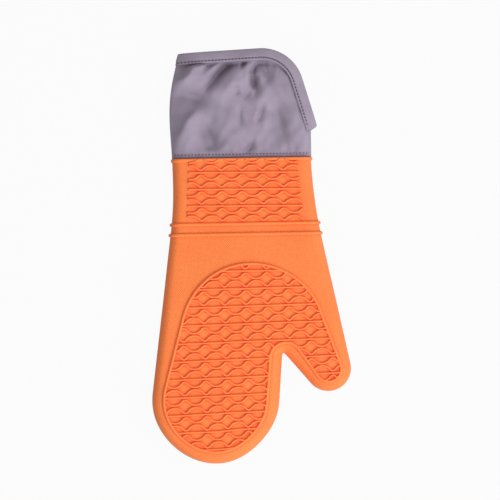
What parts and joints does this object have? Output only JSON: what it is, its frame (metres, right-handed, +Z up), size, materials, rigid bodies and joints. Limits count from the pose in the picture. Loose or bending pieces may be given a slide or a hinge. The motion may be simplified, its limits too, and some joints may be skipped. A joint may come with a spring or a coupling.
{
  "type": "oven mitt",
  "caption": "Oven mitt: silicone hand with thumb, raised wave grip and ribbed wrist, quilted lining and a flared cotton cuff with a bound, stitched hem.",
  "frame": {"origin": "middle of the bounding box in plan, on the surface the mitt lies on", "axes": "+Z up, out of the palm face; +Y from the fingertips to the cuff; +X towards the thumb side"},
  "size_m": [0.1797, 0.3723, 0.03],
  "materials": {
    "silicone": "matt moulded silicone with a fine grain",
    "cuff_cloth": "plain woven cotton",
    "lining_cloth": "plain woven cotton",
    "wadding": "soft polyester wadding",
    "thread": "spun sewing thread"
  },
  "bodies": {
    "palm": {"palm_shell": "silicone", "palm_grip_front": "silicone", "palm_wadding_front": "wadding", "palm_lining_front": "lining_cloth", "palm_grip_back": "silicone", "palm_wadding_back": "wadding", "palm_lining_back": "lining_cloth", "wrist_grip_front": "silicone", "wrist_grip_back": "silicone"},
    "fingers": {"finger_shell": "silicone", "finger_grip_front": "silicone", "finger_wadding_front": "wadding", "finger_lining_front": "lining_cloth", "finger_grip_back": "silicone", "finger_wadding_back": "wadding", "finger_lining_back": "lining_cloth"},
    "thumb": {"thumb_shell": "silicone", "thumb_grip_front": "silicone", "thumb_wadding_front": "wadding", "thumb_lining_front": "lining_cloth", "thumb_grip_back": "silicone", "thumb_wadding_back": "wadding", "thumb_lining_back": "lining_cloth"},
    "cuff": {"cuff_panel_front": "cuff_cloth", "cuff_wadding_front": "wadding", "cuff_lining_front": "lining_cloth", "hem_band_front": "cuff_cloth", "hem_stitching_front": "thread", "rim_stitching_front": "thread", "cuff_panel_back": "cuff_cloth", "cuff_wadding_back": "wadding", "cuff_lining_back": "lining_cloth", "hem_band_back": "cuff_cloth", "hem_stitching_back": "thread", "rim_stitching_back": "thread"}
  },
  "joints": [
    {"name": "finger_fold", "type": "hinge", "parent": "palm", "child": "fingers", "pos_m": [-0.03, -0.1006, 0.03], "axis": [-1, 0, 0], "range_deg": [0, 75], "stiffness_Nm_per_rad": 0.05},
    {"name": "thumb_fold", "type": "hinge", "parent": "palm", "child": "thumb", "pos_m": [0.03, -0.09, 0.03], "axis": [-0.9135, -0.4067, 0], "range_deg": [0, 60], "stiffness_Nm_per_rad": 0.02},
    {"name": "cuff_fold", "type": "hinge", "parent": "palm", "child": "cuff", "pos_m": [0, 0.0877, 0.03], "axis": [1, 0, 0], "range_deg": [0, 90]}
  ]
}
